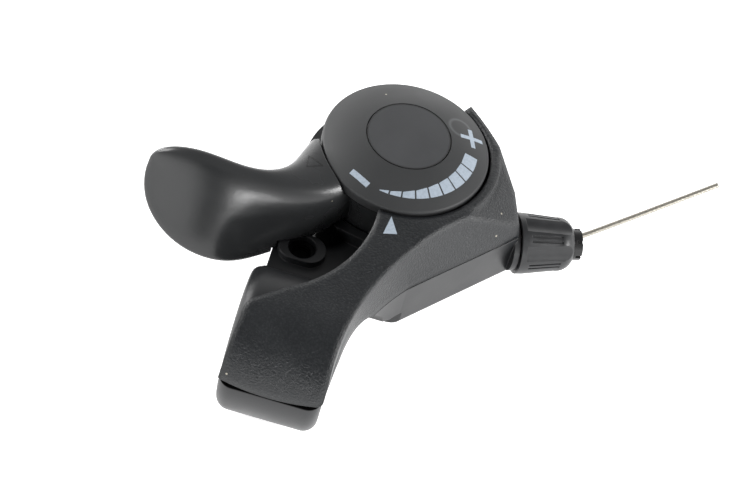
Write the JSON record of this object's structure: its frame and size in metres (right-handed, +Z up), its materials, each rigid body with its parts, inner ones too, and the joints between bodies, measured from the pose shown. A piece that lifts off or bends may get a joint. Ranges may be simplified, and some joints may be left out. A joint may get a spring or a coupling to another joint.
{
  "type": "thumb-lever gear shifter",
  "caption": "Black plastic thumb-lever bicycle gear shifter with a handlebar clamp, a graduated dial turning with the lever, a fluted cable adjuster and a short bare cable end.",
  "frame": {"origin": "on the handlebar's axis at the middle of the clamp", "axes": "+X along the handlebar towards the cable end, +Y from the bar to the dial, +Z up along the lever's pivot"},
  "size_m": [0.1192, 0.0835, 0.0395],
  "materials": {
    "bracket_plastic": "moulded black nylon, semi-gloss",
    "cover_plastic": "fine-grained moulded black nylon",
    "lever_plastic": "moulded black nylon worn to a satin shine",
    "dial_plastic": "smooth black moulding with a white printed scale",
    "cap_plastic": "fine matt black moulding",
    "knob_plastic": "moulded black plastic",
    "black_metal": "glossy black",
    "black_steel": "black oxide",
    "zinc_steel": "zinc plated",
    "spring_steel": "bright spring steel",
    "cable_steel": "stranded steel wire",
    "brass": "turned brass",
    "acetal": "natural white plastic"
  },
  "bodies": {
    "bracket": {"base_bracket": "bracket_plastic", "top_cover": "cover_plastic", "cover_screws": "zinc_steel", "clamp_bolt": "black_steel", "clamp_nut": "black_steel", "pivot_insert": "brass", "pivot_bush": "acetal", "pivot_bolt": "zinc_steel", "flat_washer": "zinc_steel", "spring_washer": "spring_steel", "click_spring": "spring_steel", "leaf_pin": "zinc_steel", "inner_cable": "cable_steel"},
    "lever": {"thumb_lever": "lever_plastic", "drive_pins": "zinc_steel", "index_plate": "zinc_steel", "cable_drum": "acetal", "cable_nipple": "zinc_steel", "cable_wrap": "cable_steel", "dial": "dial_plastic", "dial_cap": "cap_plastic"},
    "adjuster_carrier": {"click_ring": "acetal"},
    "adjuster": {"adjuster_bolt": "black_metal", "adjuster_knob": "knob_plastic"}
  },
  "joints": [
    {"name": "lever_turn", "type": "hinge", "parent": "bracket", "child": "lever", "pos_m": [0.0125, 0.045, 0], "axis": [0, 0, 1], "range_deg": [-73.8, 0], "deforming": ["click_spring", "inner_cable"]},
    {"name": "adjuster_slide", "type": "slide", "parent": "bracket", "child": "adjuster_carrier", "axis": [0.9461, 0.3239, 0], "range_m": [0, 0.004], "deforming": ["inner_cable"]},
    {"name": "adjuster_turn", "type": "hinge", "parent": "adjuster_carrier", "child": "adjuster", "pos_m": [0.05474, 0.04636, 0.0032], "axis": [0.9461, 0.3239, 0], "range_deg": [0, 1800]}
  ],
  "couplings": [
    {"joint": "adjuster_turn", "follows": "adjuster_slide", "rad_per_m": 7854}
  ]
}
